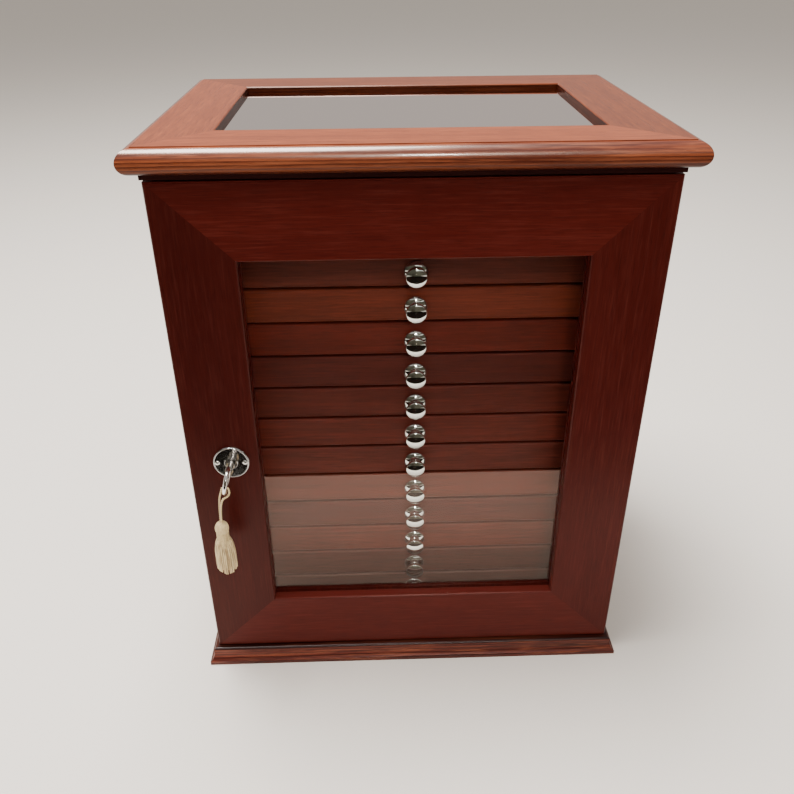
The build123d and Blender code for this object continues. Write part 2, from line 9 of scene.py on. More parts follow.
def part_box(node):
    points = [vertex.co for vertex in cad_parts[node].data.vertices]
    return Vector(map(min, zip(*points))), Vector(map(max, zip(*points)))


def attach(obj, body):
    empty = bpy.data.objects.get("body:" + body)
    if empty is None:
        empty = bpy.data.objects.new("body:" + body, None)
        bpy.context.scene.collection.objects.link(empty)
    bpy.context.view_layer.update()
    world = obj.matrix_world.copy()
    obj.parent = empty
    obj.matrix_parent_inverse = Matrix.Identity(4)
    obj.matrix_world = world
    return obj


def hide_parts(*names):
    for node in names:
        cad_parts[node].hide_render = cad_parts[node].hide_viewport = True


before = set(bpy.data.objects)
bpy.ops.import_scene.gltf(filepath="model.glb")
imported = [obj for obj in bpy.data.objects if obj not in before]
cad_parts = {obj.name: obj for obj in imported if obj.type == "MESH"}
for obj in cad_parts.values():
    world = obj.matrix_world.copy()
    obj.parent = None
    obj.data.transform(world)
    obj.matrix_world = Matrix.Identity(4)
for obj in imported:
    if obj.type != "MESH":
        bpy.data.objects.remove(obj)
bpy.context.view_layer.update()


def link(obj):
    bpy.context.scene.collection.objects.link(obj)
    return obj


# Camera: fitted to the photograph, in the frame of the cabinet
camera_place = Vector((-0.02406, -0.5826, 0.5227))
camera_pitch = math.radians(30.4244)
camera_yaw = math.radians(1.5059)
camera_roll = math.radians(-0.4447)
camera_lens = 36.04
sensor_width = 36


def add_camera():
    forward = Vector(
        (
            math.sin(camera_yaw) * math.cos(camera_pitch),
            math.cos(camera_yaw) * math.cos(camera_pitch),
            -math.sin(camera_pitch),
        )
    )
    level = Vector((math.cos(camera_yaw), -math.sin(camera_yaw), 0))
    above = level.cross(forward)
    right = level * math.cos(camera_roll) + above * math.sin(camera_roll)
    up = above * math.cos(camera_roll) - level * math.sin(camera_roll)
    data = bpy.data.cameras.new("camera")
    data.sensor_width = sensor_width
    data.lens = camera_lens
    data.clip_start = 0.01
    camera = link(bpy.data.objects.new("camera", data))
    turned = Matrix((right, up, -forward)).transposed().to_4x4()
    camera.matrix_world = Matrix.Translation(camera_place) @ turned
    bpy.context.scene.camera = camera


add_camera()


# Shader helpers
class Graph:
    """A material's node tree with short calls for the nodes used here."""

    def __init__(self, name):
        self.material = bpy.data.materials.new(name)
        self.material.use_nodes = True
        self.tree = self.material.node_tree
        self.tree.nodes.clear()
        self.output = self.tree.nodes.new("ShaderNodeOutputMaterial")
        self.position = self.node("ShaderNodeTexCoord").outputs["Object"]

    def node(self, kind, inputs=None, **settings):
        made = self.tree.nodes.new(kind)
        for key, value in settings.items():
            setattr(made, key, value)
        for key, value in (inputs or {}).items():
            self.put(made.inputs[key], value)
        return made

    def put(self, socket, value):
        if isinstance(value, bpy.types.NodeSocket):
            self.tree.links.new(value, socket)
        elif socket.type == "RGBA":
            socket.default_value = (*value, 1)
        else:
            socket.default_value = value

    def math(self, operation, first, second=0.0, third=None, clamp=False):
        inputs = {0: first, 1: second}
        if third is not None:
            inputs[2] = third
        made = self.node("ShaderNodeMath", inputs, operation=operation, use_clamp=clamp)
        return made.outputs[0]

    def times(self, first, second):
        return self.math("MULTIPLY", first, second)

    def above(self, value, limit):
        return self.math("GREATER_THAN", value, limit)

    def below(self, value, limit):
        return self.math("LESS_THAN", value, limit)

    def split(self, vector):
        return self.node("ShaderNodeSeparateXYZ", {0: vector}).outputs

    def join(self, x, y, z):
        return self.node("ShaderNodeCombineXYZ", {0: x, 1: y, 2: z}).outputs[0]

    def scaled(self, vector, scale):
        inputs = {0: vector, 1: scale}
        return self.node("ShaderNodeVectorMath", inputs, operation="MULTIPLY").outputs[0]

    def length(self, vector):
        made = self.node("ShaderNodeVectorMath", {0: vector}, operation="LENGTH")
        return made.outputs["Value"]

    def noise(self, vector, scale, detail, roughness, seed=None, distortion=0.0):
        inputs = {
            "Vector": vector,
            "Scale": scale,
            "Detail": detail,
            "Roughness": roughness,
            "Distortion": distortion,
        }
        if seed is not None:
            inputs["W"] = seed
        dimensions = "3D" if seed is None else "4D"
        return self.node("ShaderNodeTexNoise", inputs, noise_dimensions=dimensions).outputs[0]

    def ramp(self, value, low, high, to_low=0.0, to_high=1.0):
        inputs = {0: value, 1: low, 2: high, 3: to_low, 4: to_high}
        return self.node("ShaderNodeMapRange", inputs).outputs[0]

    def mix(self, factor, first, second):
        """A colour between two. The node's sockets for colours come after those for numbers."""
        inputs = {0: factor, 6: first, 7: second}
        return self.node("ShaderNodeMix", inputs, data_type="RGBA").outputs[2]

    def choose(self, factor, first, second):
        """A number between two: the first where the factor is 0."""
        inputs = {0: factor, 2: first, 3: second}
        return self.node("ShaderNodeMix", inputs, data_type="FLOAT").outputs[0]

    def bump(self, height, strength, distance):
        inputs = {"Height": height, "Strength": strength, "Distance": distance}
        return self.node("ShaderNodeBump", inputs).outputs[0]

    def show(self, shader):
        self.tree.links.new(shader.outputs[0], self.output.inputs[0])
        return self.material

    def surface(self, **values):
        shader = self.node("ShaderNodeBsdfPrincipled")
        for key, value in values.items():
            socket = key.replace("_", " ").title().replace("Ior", "IOR")
            self.put(shader.inputs[socket], value)
        return self.show(shader)


def toned(colour, factor, lift=0.0):
    """The colour made darker or lighter, with no part of it above 1."""
    return tuple(min(1.0, part * factor + lift) for part in colour)


def give(material, *nodes):
    for node in nodes:
        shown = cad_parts[node]
        shown.data.materials.clear()
        shown.data.materials.append(material)


# Grain and masks of a mitred rim
def rim_masks(graph, node, axes):
    """For a node that is a mitred rim: 1 in the members along the first axis, the member's
    number (0 and 1 for the low and high one across, 2 and 3 for those along the first axis),
    a thin line along the mitres, and how far in from the rim's outside a place is."""
    low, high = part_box(node)
    parts = graph.split(graph.position)
    inward = []
    sides = []
    for axis in axes:
        offset = graph.math("SUBTRACT", parts[axis], (low[axis] + high[axis]) / 2)
        sides.append(graph.above(offset, 0.0))
        reach = (high[axis] - low[axis]) / 2
        inward.append(graph.math("SUBTRACT", reach, graph.math("ABSOLUTE", offset)))
    difference = graph.math("SUBTRACT", inward[0], inward[1])
    along_first = graph.above(difference, 0.0)
    member = graph.choose(along_first, sides[0], graph.math("ADD", sides[1], 2.0))
    mitre = graph.ramp(graph.math("ABSOLUTE", difference), 0.0, mitre_width, 0.4, 0.0)
    return along_first, member, mitre, graph.math("MINIMUM", inward[0], inward[1])


def rim_grain(graph, rails, axes):
    """The graph and coordinates with the grain's direction first, swapped where rails is 0."""
    parts = graph.split(graph.position)
    first, second = axes
    third = 3 - first - second
    along = graph.choose(rails, parts[second], parts[first])
    across = graph.choose(rails, parts[first], parts[second])
    return graph, graph.join(along, across, parts[third])


def member_shade(graph, member, rails, stile_shades, rail_shades, painted_rail_shade=None):
    """A shade for each of a rim's four members, and, where given, painted shade over its rails."""
    stile_shade = graph.ramp(member, 0.0, 1.0, *stile_shades)
    rail_shade = graph.ramp(member, 2.0, 3.0, *rail_shades)
    if painted_rail_shade is not None:
        rail_shade = graph.times(rail_shade, painted_rail_shade)
    return graph.choose(rails, stile_shade, rail_shade)


def straight(name, axis):
    """A graph and its grain along one axis: 0 is X, 1 is Y and 2 is Z."""
    graph = Graph(name)
    parts = graph.split(graph.position)
    others = [i for i in range(3) if i != axis]
    return graph, graph.join(parts[axis], parts[others[0]], parts[others[1]])


# Timber: how far its rings wander, where their heart lies beside the board and below it, how
# far the heart moves from one seed to the next, and how deep its pores and wide its mitres are
ring_drift = 0.028
ring_ripple = 0.0022
heart_aside = 0.05
heart_below = 0.08
heart_step = 0.0137
pore_depth = 0.00006
mitre_width = 0.0003


def wood(
    grained,
    tones,
    seed,
    pitch=0.004,
    rings=0.3,
    calm=0.5,
    rough=0.3,
    shine=0.25,
    coat=0.0,
    line=None,
    shade=None,
    edge_highlight=None,
    mirrored=(1, 1, 1),
):
    """Stained timber: growth rings at a pitch round a heart beside the board, a drifting
    figure, fine dark pores and paler flecks along the grain. A calm board shows less of its
    figure. Masks darken it along a line, and by a shade from 1 down to 0 that holds painted
    shade as well as a board's own tone, and lighten it by a painted highlight where light
    catches an edge. What its finish mirrors can be tinted."""
    graph, vector = grained
    dark, middle, light = tones

    def pattern(along, across, detail, roughness, distortion=0.0):
        stretched = graph.scaled(vector, (along, across, across))
        return graph.noise(stretched, 1.0, detail, roughness, seed, distortion)

    drift = pattern(3.0, 18.0, 3.0, 0.55)
    ripple = pattern(14.0, 120.0, 3.0, 0.6)
    figure = pattern(5.0, 90.0, 5.0, 0.6, 0.4)
    flecks = pattern(28.0, 620.0, 3.0, 0.65)
    pores = pattern(60.0, 1500.0, 2.0, 0.7)

    across, depth = graph.split(vector)[1:]
    bend = graph.math("MULTIPLY_ADD", drift, ring_drift, graph.times(ripple, ring_ripple))
    aside = graph.math("MULTIPLY_ADD", seed, heart_step, heart_aside)
    side = graph.math("ADD", graph.math("ADD", across, bend), aside)
    below = graph.math("ADD", depth, heart_below)
    radius = graph.length(graph.join(side, below, 0.0))
    ring = graph.math("FRACT", graph.math("DIVIDE", radius, pitch))
    late_wood = graph.times(graph.ramp(ring, 0.25, 0.85), graph.ramp(ring, 0.93, 1.0, 1.0, 0.0))

    lively = graph.math("SUBTRACT", 1.0, calm)
    bright_figure = graph.times(graph.ramp(figure, 0.5, 0.75, 0.0, 0.7), lively)
    colour = graph.mix(graph.ramp(figure, 0.35, 0.55, calm, 1.0), dark, middle)
    colour = graph.mix(bright_figure, colour, light)
    colour = graph.mix(graph.times(late_wood, rings), colour, dark)
    colour = graph.mix(graph.ramp(flecks, 0.5, 0.72, 0.0, 0.55), colour, light)
    colour = graph.mix(graph.ramp(pores, 0.5, 0.75, 0.0, 0.65), colour, toned(dark, 0.35))
    # Painted shade, or a board's own tone, darkens the colour where the shade is below 1
    if shade is not None:
        colour = graph.mix(shade, toned(dark, 0.15), colour)
    if line is not None:
        colour = graph.mix(line, colour, toned(dark, 0.25))
    # Painted highlight: an edge is paler where light catches it
    if edge_highlight is not None:
        colour = graph.mix(edge_highlight, colour, toned(light, 1.9, 0.02))
    filled = graph.math("SUBTRACT", 1.0, graph.ramp(pores, 0.55, 0.75))
    return graph.surface(
        base_color=colour,
        roughness=graph.ramp(flecks, 0.2, 0.8, rough - 0.04, rough + 0.08),
        normal=graph.bump(filled, 0.25, pore_depth),
        specular_ior_level=shine,
        specular_tint=mirrored,
        coat_weight=coat,
        coat_roughness=0.08,
    )


# Woods: each has a dark, a middle and a light tone
door_tones = ((0.06, 0.0045, 0.003), (0.084, 0.0068, 0.0042), (0.15, 0.022, 0.014))
lid_tones = ((0.07, 0.008, 0.004), (0.25, 0.053, 0.015), (0.42, 0.115, 0.04))
base_tones = ((0.03, 0.005, 0.0035), (0.15, 0.026, 0.014), (0.42, 0.12, 0.05))
beech_tones = ((0.2, 0.11, 0.05), (0.34, 0.2, 0.1), (0.45, 0.3, 0.17))


def door_wood():
    """The sill of the opening and the top edge of the front carry painted highlights, and painted
    shade darkens the top rail towards the lid.
    """
    graph = Graph("door_mahogany")
    depth, height = graph.split(graph.position)[1:]
    rails, member, mitre, inward = rim_masks(graph, "door_frame", (0, 2))
    low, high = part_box("door_frame")
    front, top = low[1], high[2]
    inside_opening = 0.0497
    sill_level = 0.08

    # Painted shadow of the lid's overhang: the top rail darkens towards its top
    lid_shadow = graph.ramp(height, top - 0.021, top, 1.0, 0.6)
    shade = member_shade(graph, member, rails, (0.45, 0.6), (0.8, 0.78), lid_shadow)
    # Painted highlights: the sill of the opening and the front's top edge, paler where light
    # catches them
    sill = graph.times(graph.above(inward, inside_opening), graph.below(height, sill_level))
    on_front = graph.below(depth, front + 0.0005)
    top_edge_highlight = graph.times(graph.ramp(height, top - 0.0006, top - 0.0001, 0.0, 0.65), on_front)
    return wood(
        rim_grain(graph, rails, (0, 2)),
        door_tones,
        seed=member,
        pitch=0.0035,
        rings=0.25,
        calm=0.65,
        shine=0.17,
        line=mitre,
        shade=shade,
        edge_highlight=graph.math("MAXIMUM", graph.times(sill, 0.2), top_edge_highlight),
        mirrored=(1.0, 0.68, 0.6),
    )


def lid_wood():
    """The nosing is glossy and lively and darkened downwards by painted shade, the flat of the
    frame calm, and the faces inside the opening, above the glass, dark with painted shade."""
    graph = Graph("lid_mahogany")
    height = graph.split(graph.position)[2]
    rails, member, mitre, inward = rim_masks(graph, "lid_frame", (0, 1))
    low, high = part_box("lid_frame")
    foot, top = low[2], high[2]
    nosing_depth = 0.0095
    inside_opening = 0.03
    glass_top = 0.4112

    flat = graph.ramp(height, top - 0.0009, top - 0.0003)
    on_nosing = graph.below(inward, nosing_depth)
    past_nosing = graph.above(inward, nosing_depth)
    opening = graph.times(graph.above(inward, inside_opening), graph.above(height, glass_top))

    # Painted shade below the flat: darkest inside the opening, darkening down the nosing, middling
    # on the underside
    nosing_shade = graph.ramp(height, foot, foot + 0.009, 0.12, 0.9)
    flat_shade = member_shade(graph, member, rails, (0.78, 0.6), (0.95, 0.6))
    below_flat = graph.choose(opening, graph.choose(past_nosing, nosing_shade, 0.5), 0.16)
    nosing_coat = graph.ramp(height, foot + 0.006, foot + 0.0115, 0.0, 0.6)
    nosing_shine = graph.ramp(height, foot + 0.003, foot + 0.011, 0.12, 0.9)
    return wood(
        rim_grain(graph, rails, (0, 1)),
        lid_tones,
        seed=graph.math("ADD", member, 7.0),
        pitch=0.0022,
        rings=graph.choose(flat, 0.85, 0.12),
        calm=graph.choose(flat, 0.0, 0.8),
        rough=0.28,
        shine=graph.choose(flat, graph.choose(opening, nosing_shine, 0.08), 0.42),
        coat=graph.times(graph.choose(flat, nosing_coat, 0.0), on_nosing),
        line=mitre,
        shade=graph.choose(flat, below_flat, flat_shade),
        mirrored=(1.0, 0.82, 0.7),
    )


def base_wood():
    """The top of the board, round the carcass, is darker than its moulded edge, by painted shade.
    """
    graph = Graph("base_mahogany")
    height = graph.split(graph.position)[2]
    rails, member, mitre, _ = rim_masks(graph, "base_board", (0, 1))
    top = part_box("base_board")[1][2]
    return wood(
        rim_grain(graph, rails, (0, 1)),
        base_tones,
        seed=graph.math("ADD", member, 3.1),
        pitch=0.003,
        rings=0.8,
        calm=0.0,
        line=mitre,
        # Painted shade on the board's top face
        shade=graph.ramp(height, top - 0.0018, top - 0.0012, 1.0, 0.3),
    )


def top_panel_wood():
    """The panel's front edge is darkened by painted shade, in the gap between the lid and the door.
    """
    graph, grain = straight("top_panel_mahogany", 0)
    depth = graph.split(graph.position)[1]
    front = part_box("top_panel")[0][1]
    # Painted shade on the front edge
    shade = graph.ramp(depth, front + 0.0002, front + 0.001, 0.2, 1.0)
    return wood((graph, grain), door_tones, 9.4, rough=0.45, shine=0.1, shade=shade)


give(door_wood(), "door_frame")
give(lid_wood(), "lid_frame")
give(base_wood(), "base_board")
give(top_panel_wood(), "top_panel")
give(wood(straight("bead_mahogany", 2), door_tones, 2.2), "door_beads", "lid_beads")
give(
    wood(straight("side_mahogany", 2), door_tones, 3.3),
    "side_panel_left",
    "side_panel_right",
)
give(
    wood(straight("carcass_mahogany", 0), door_tones, 8.6, rough=0.45, shine=0.2),
    "carcass_bottom",
    "back_panel",
    "display_well",
)
give(wood(straight("runner_beech", 1), beech_tones, 1.7, rough=0.5), "drawer_runners")

# Drawer fronts differ a little in tone, as they do where each is cut from its own board, and the
# first, under the door's top rail, is darker by painted shade
drawer_tones_and_shade = {
    # The first front's tone is darkened by painted shade under the door's top rail
    1: (0.097, 0.016, 0.008),
    2: (0.135, 0.0205, 0.0077),
    3: (0.109, 0.0115, 0.0046),
    4: (0.081, 0.0107, 0.006),
    5: (0.097, 0.0128, 0.0065),
    6: (0.113, 0.0147, 0.0073),
    7: (0.112, 0.0168, 0.009),
    8: (0.145, 0.0265, 0.0135),
    9: (0.11, 0.02, 0.0125),
    10: (0.14, 0.0245, 0.0125),
    11: (0.108, 0.0193, 0.0111),
    12: (0.108, 0.0193, 0.0111),
}


def drawer_wood(number, tone):
    """The upper and lower arrises of a drawer's front carry a painted highlight."""
    drawer = f"drawer_{number:02d}"
    low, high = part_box(drawer)
    graph, grain = straight(f"{drawer}_mahogany", 0)
    depth, height = graph.split(graph.position)[1:]
    reach = (high[2] - low[2]) / 2
    offset = graph.math("SUBTRACT", height, (low[2] + high[2]) / 2)
    # Painted highlight along the front's upper and lower arrises
    arris_highlight = graph.ramp(
        graph.math("ABSOLUTE", offset), reach - 0.0007, reach - 0.0003, 0.0, 0.6
    )
    return wood(
        (graph, grain),
        (toned(tone, 0.65), tone, toned(tone, 1.6)),
        seed=11.0 + 1.37 * number,
        pitch=0.005,
        rough=0.4,
        shine=0.2,
        edge_highlight=graph.times(arris_highlight, graph.below(depth, low[1] + 0.0004)),
    )


for number, tone in drawer_tones_and_shade.items():
    give(drawer_wood(number, tone), f"drawer_{number:02d}")


# Velvet: a deep pile with a soft sheen and slight brushed patches
def velvet(name, colour):
    graph = Graph(name)
    patches = graph.noise(graph.position, 30.0, 3.0, 0.6)
    pile = graph.noise(graph.position, 2500.0, 2.0, 0.6)
    tint = graph.mix(graph.ramp(patches, 0.35, 0.65), toned(colour, 0.45), colour)
    tint = graph.mix(graph.ramp(pile, 0.4, 0.7, 0.0, 0.5), tint, toned(colour, 1.6))
    return graph.surface(
        base_color=tint,
        roughness=0.9,
        sheen_weight=0.8,
        sheen_roughness=0.35,
        sheen_tint=toned(colour, 4),
        normal=graph.bump(pile, 0.5, 0.0002),
    )


velvet_material = velvet("burgundy_velvet", (0.16, 0.008, 0.02))
give(velvet_material, "well_lining")
for number in drawer_tones_and_shade:
    give(velvet_material, f"drawer_{number:02d}_insert")


# Metals: fine scratches and a faint cloud of tarnish
def metal(name, colour, rough, scratch):
    graph = Graph(name)
    scratches = graph.noise(graph.scaled(graph.position, (1.0, 1.0, 3.0)), 900.0, 3.0, 0.6)
    cloud = graph.noise(graph.position, 90.0, 3.0, 0.5)
    return graph.surface(
        base_color=graph.mix(graph.ramp(cloud, 0.35, 0.75, 0.0, 0.35), colour, toned(colour, 0.88)),
        metallic=1.0,
        roughness=graph.ramp(scratches, 0.3, 0.7, rough, rough + scratch),
        normal=graph.bump(scratches, 0.08, 0.00002),
    )


chrome = metal("knob_chrome", (0.93, 0.93, 0.92), 0.04, 0.05)
for number in drawer_tones_and_shade:
    give(chrome, f"drawer_{number:02d}_knob")
lock_chrome = metal("lock_chrome", (0.8, 0.8, 0.8), 0.05, 0.07)
give(lock_chrome, "lock_case")
give(metal("lock_steel", (0.5, 0.49, 0.47), 0.08, 0.1), "lock_plug", "lock_cam")
give(metal("key_plate", (0.85, 0.82, 0.79), 0.1, 0.1), "key")
give(
    metal("hinge_brass", (0.62, 0.43, 0.19), 0.24, 0.15),
    "fixed_hinge_leaves",
    "door_hinge_leaves",
    "lid_hinge_leaves",
)


# Glass: thin sheets that let light through and mirror by their angle
def sheet_glass(name, tint, haze, mirroring, mirrored):
    """Only the outer face mirrors, by as much as its mirroring says, in the mirrored tint."""
    graph = Graph(name)
    fresnel = graph.node("ShaderNodeFresnel", {"IOR": 1.5}).outputs[0]
    backfacing = graph.node("ShaderNodeNewGeometry").outputs["Backfacing"]
    outer_face = graph.math("SUBTRACT", 1.0, backfacing)
    share = graph.math("MULTIPLY", graph.times(fresnel, mirroring), outer_face, clamp=True)
    smear = graph.noise(graph.scaled(graph.position, (1.0, 1.0, 0.4)), 25.0, 4.0, 0.6)
    clear = graph.node("ShaderNodeBsdfTransparent", {"Color": tint})
    mirror = graph.node(
        "ShaderNodeBsdfGlossy",
        {"Color": mirrored, "Roughness": graph.ramp(smear, 0.4, 0.8, 0.0, haze)},
    )
    inputs = {0: share, 1: clear.outputs[0], 2: mirror.outputs[0]}
    return graph.show(graph.node("ShaderNodeMixShader", inputs))


give(sheet_glass("door_sheet", (0.97, 0.98, 0.97), 0.004, 1.1, (1.0, 0.82, 0.72)), "door_glass")
give(sheet_glass("lid_sheet", (0.97, 0.95, 0.93), 0.008, 3.1, (1.0, 0.91, 0.87)), "lid_glass")


# Thread of the tassel and its cord: the skirt shows dark stripes of painted shade between its
# strands
def thread_material():
    graph = Graph("cream_thread")
    fibres = graph.noise(graph.scaled(graph.position, (2500.0, 2500.0, 300.0)), 1.0, 3.0, 0.6)
    # Painted shade between the strands, stronger on the skirt than on the head
    strand_shade = graph.noise(graph.scaled(graph.position, (900.0, 900.0, 35.0)), 1.0, 2.0, 0.5)
    skirt = graph.ramp(graph.split(graph.position)[2], 0.144, 0.151, 0.85, 0.3)
    strand_shade_share = graph.times(graph.ramp(strand_shade, 0.45, 0.62), skirt)
    tint = graph.mix(graph.ramp(fibres, 0.3, 0.7), (0.62, 0.45, 0.2), (0.88, 0.72, 0.4))
    return graph.surface(
        base_color=graph.mix(strand_shade_share, tint, (0.34, 0.21, 0.09)),
        roughness=0.6,
        sheen_weight=0.4,
        sheen_roughness=0.4,
        normal=graph.bump(fibres, 0.4, 0.0001),
    )


thread = thread_material()


# Mesh and curve helpers
def curve_object(name, paths, resolution, order=3, thickness=0.0):
    """Smooth threads in one object: each path is a list of (place, width) pairs."""
    data = bpy.data.curves.new(name, "CURVE")
    data.dimensions = "3D"
    data.resolution_u = resolution
    for path in paths:
        spline = data.splines.new("NURBS")
        spline.points.add(len(path) - 1)
        for point, (place, width) in zip(spline.points, path):
            point.co = (*place, 1)
            point.radius = width
        spline.order_u = order
        spline.use_endpoint_u = True
    data.bevel_depth = thickness
    data.bevel_resolution = 3
    data.use_fill_caps = thickness > 0
    return link(bpy.data.objects.new(name, data))


def line_of(obj):
    """The points along a curve that has no bevel."""
    mesh = bpy.data.meshes.new_from_object(obj)
    return [vertex.co.copy() for vertex in mesh.vertices]


def frames_along(points):
    """Two directions across the line at each point, carried along it without twisting."""
    frames = []
    first = Vector((0, 1, 0))
    for index in range(len(points)):
        ahead = points[min(index + 1, len(points) - 1)] - points[max(index - 1, 0)]
        tangent = ahead.normalized()
        first = (first - tangent * first.dot(tangent)).normalized()
        frames.append((first.copy(), tangent.cross(first)))
    return frames


def round_about(first, second, angle):
    """A direction at an angle from the first towards the second."""
    return first * math.cos(angle) + second * math.sin(angle)


def add_tube(build, points, radius, sides=10):
    rings = []
    for point, (first, second) in zip(points, frames_along(points)):
        ring = []
        for side in range(sides):
            outwards = round_about(first, second, 2 * math.pi * side / sides)
            ring.append(build.verts.new(point + outwards * radius))
        rings.append(ring)
    for lower, upper in zip(rings, rings[1:]):
        for side in range(sides):
            after = (side + 1) % sides
            build.faces.new((lower[side], lower[after], upper[after], upper[side]))
    build.faces.new(reversed(rings[0]))
    build.faces.new(rings[-1])


def mesh_object(name, build):
    for face in build.faces:
        face.smooth = True
    bmesh.ops.recalc_face_normals(build, faces=build.faces[:])
    mesh = bpy.data.meshes.new(name)
    build.to_mesh(mesh)
    build.free()
    return link(bpy.data.objects.new(name, mesh))


def lathe(name, outline, place, axis, across, sides=64):
    """A turned form: the outline holds (reach along the axis, radius) and ends where it
    started, or starts and ends on the axis."""
    build = bmesh.new()
    rings = []
    for reach, radius in outline:
        ring = []
        for side in range(sides if radius else 1):
            outwards = round_about(across, axis.cross(across), 2 * math.pi * side / sides)
            ring.append(build.verts.new(place + axis * reach + outwards * radius))
        rings.append(ring)
    for upper, lower in zip(rings, rings[1:]):
        for side in range(sides):
            after = (side + 1) % sides
            corners = [upper[side % len(upper)], upper[after % len(upper)]]
            corners += [lower[after % len(lower)], lower[side % len(lower)]]
            build.faces.new(list(dict.fromkeys(corners)))
    bmesh.ops.remove_doubles(build, verts=build.verts[:], dist=1e-7)
    return mesh_object(name, build)


def steps_between(first, last, count):
    """The first value and those after it, in equal steps up to the last."""
    return [first + (last - first) * step / count for step in range(count + 1)]


# Knobs and the lock plate's rolled rim, turned
forwards = Vector((0, -1, 0))
sideways = Vector((1, 0, 0))
downwards = Vector((0, 0, -1))


def knob_outline():
    """A domed head with a rounded edge, a neck and a domed rosette, from front to back."""
    dome, head_reach = 0.0148, 0.0136
    edge, edge_reach, edge_radius = 0.0012, 0.01096, 0.0061
    neck, neck_reach = 0.003, 0.00565
    rosette, rosette_rim, rosette_reach = 0.0082, 0.0009, 0.0034
    swell_out, swell_wide = 0.00045, 0.000215

    outline = []
    meet = math.asin(edge_radius / (dome - edge))
    for angle in steps_between(0, meet, 8):
        outline.append((head_reach - dome + dome * math.cos(angle), dome * math.sin(angle)))
    for angle in steps_between(meet, math.radians(110), 8)[1:]:
        reach = edge_reach + edge * math.cos(angle)
        outline.append((reach, edge_radius + edge * math.sin(angle)))
    behind, widest = outline[-1]
    for angle in steps_between(math.pi / 2, 0, 6)[1:]:
        reach = neck_reach + (behind - neck_reach) * (1 - math.cos(angle))
        outline.append((reach, neck + (widest - neck) * math.sin(angle)))
    for share in steps_between(0, 1, 8):
        swell = 4 * share * (1 - share)
        reach = rosette_reach + (rosette_rim - rosette_reach) * share + swell_out * swell
        outline.append((reach, neck + (rosette - neck) * share + swell_wide * swell))
    return [*outline, (0.0, rosette), (0.0, 0.0)]


def middle_on(face, node):
    """The middle of a node's box as seen from the front, on a face at a given depth."""
    low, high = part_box(node)
    return Vector(((low[0] + high[0]) / 2, face, (low[2] + high[2]) / 2))


def add_knob(number):
    place = middle_on(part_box(f"drawer_{number:02d}")[0][1], f"drawer_{number:02d}_knob")
    knob = lathe(f"drawer_{number:02d}_turned_knob", knob_outline(), place, forwards, sideways)
    knob.data.materials.append(chrome)
    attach(knob, f"drawer_{number:02d}")
    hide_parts(f"drawer_{number:02d}_knob")


def add_lock_rim():
    roll, roll_reach, roll_radius = 0.0005, 0.0015, 0.0121
    outline = [
        (roll_reach + roll * math.sin(turn), roll_radius + roll * math.cos(turn))
        for turn in steps_between(0, 2 * math.pi, 12)
    ]
    place = middle_on(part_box("door_frame")[0][1], "lock_case")
    rim = lathe("lock_rim", outline, place, forwards, sideways, 72)
    rim.data.materials.append(lock_chrome)
    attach(rim, "door")


for number in drawer_tones_and_shade:
    add_knob(number)
add_lock_rim()

# Tassel cord: the route repeats the solid's points, and two plies twist along it. Its places
# are measured from the lowest point of the key's bow.
key_turned = math.radians(12)
key_centre = (-0.1296, -0.1385, 0.1984)
bow_radius = 0.0088
wire = Vector(
    (
        key_centre[0] - bow_radius * math.sin(key_turned),
        key_centre[1],
        key_centre[2] - bow_radius * math.cos(key_turned),
    )
)
tassel_shift = -0.0063
head_x = wire.x + tassel_shift
head_top = wire.z - 0.0277
cord_end = 0.0292
loop = 0.00245
cord_places = [
    (tassel_shift - 0.00045, 0.0007, -cord_end),
    (-0.0059, 0.0009, -0.0086),
    (-0.0034, 0.0009, -0.0018),
    (-loop, 0.0005, loop),
    (loop, 0, loop),
    (loop, -0.0005, -0.0046),
    (-0.0052, -0.0008, -0.0078),
    (tassel_shift + 0.00045, -0.0007, -cord_end),
]
cord_points = [tuple(wire + Vector(place)) for place in cord_places]
cord_thickness = 0.0015
cord_lay = 0.0034


def twisted_cord(name, line, thickness, lay_length):
    """Two plies laid round each other along the line."""
    build = bmesh.new()
    frames = frames_along(line)
    for start in (0.0, math.pi):
        ply = []
        travelled = 0.0
        before = line[0]
        for point, (first, second) in zip(line, frames):
            travelled += (point - before).length
            before = point
            angle = start + 2 * math.pi * travelled / lay_length
            ply.append(point + round_about(first, second, angle) * thickness / 4)
        add_tube(build, ply, thickness / 4)
    return mesh_object(name, build)


route = curve_object("cord_route", [[(point, 1) for point in cord_points]], resolution=60)
cord_line = line_of(route)
bpy.data.objects.remove(route)
cord = twisted_cord("tassel_cord_thread", cord_line, cord_thickness, cord_lay)

# Tassel: strands run from the cord over the head, are bound at the neck and hang as a skirt.
# A strand's profile holds (distance below the top, radius, width).
outer_profile = (
    (0.0002, 0.0012, 0.5),
    (0.0006, 0.0031, 0.6),
    (0.0044, 0.0049, 0.72),
    (0.0075, 0.0043, 0.62),
    (0.0092, 0.0036, 0.56),
    (0.0132, 0.0036, 0.56),
    (0.0158, 0.0050, 0.8),
    (0.0215, 0.0067, 0.95),
    (0.0340, 0.0072, 0.95),
    (0.0431, 0.0068, 0.85),
)
inner_profile = (
    (0.0130, 0.0022, 0.7),
    (0.0190, 0.0044, 1.0),
    (0.0320, 0.0054, 1.0),
    (0.0426, 0.0046, 1.0),
)
core_profile = (
    (0.0130, 0.0010, 0.8),
    (0.0190, 0.0022, 1.0),
    (0.0320, 0.0030, 1.0),
    (0.0422, 0.0026, 1.0),
)
strand_radius = 0.0006
skirt_top = 0.016
skirt_length = 0.027

# The binding's first turn below the top, its radius, its thread's radius and its pitch
binding_drop = 0.0088
binding_radius = 0.0042
binding_thread = 0.00042
binding_pitch = 0.00086

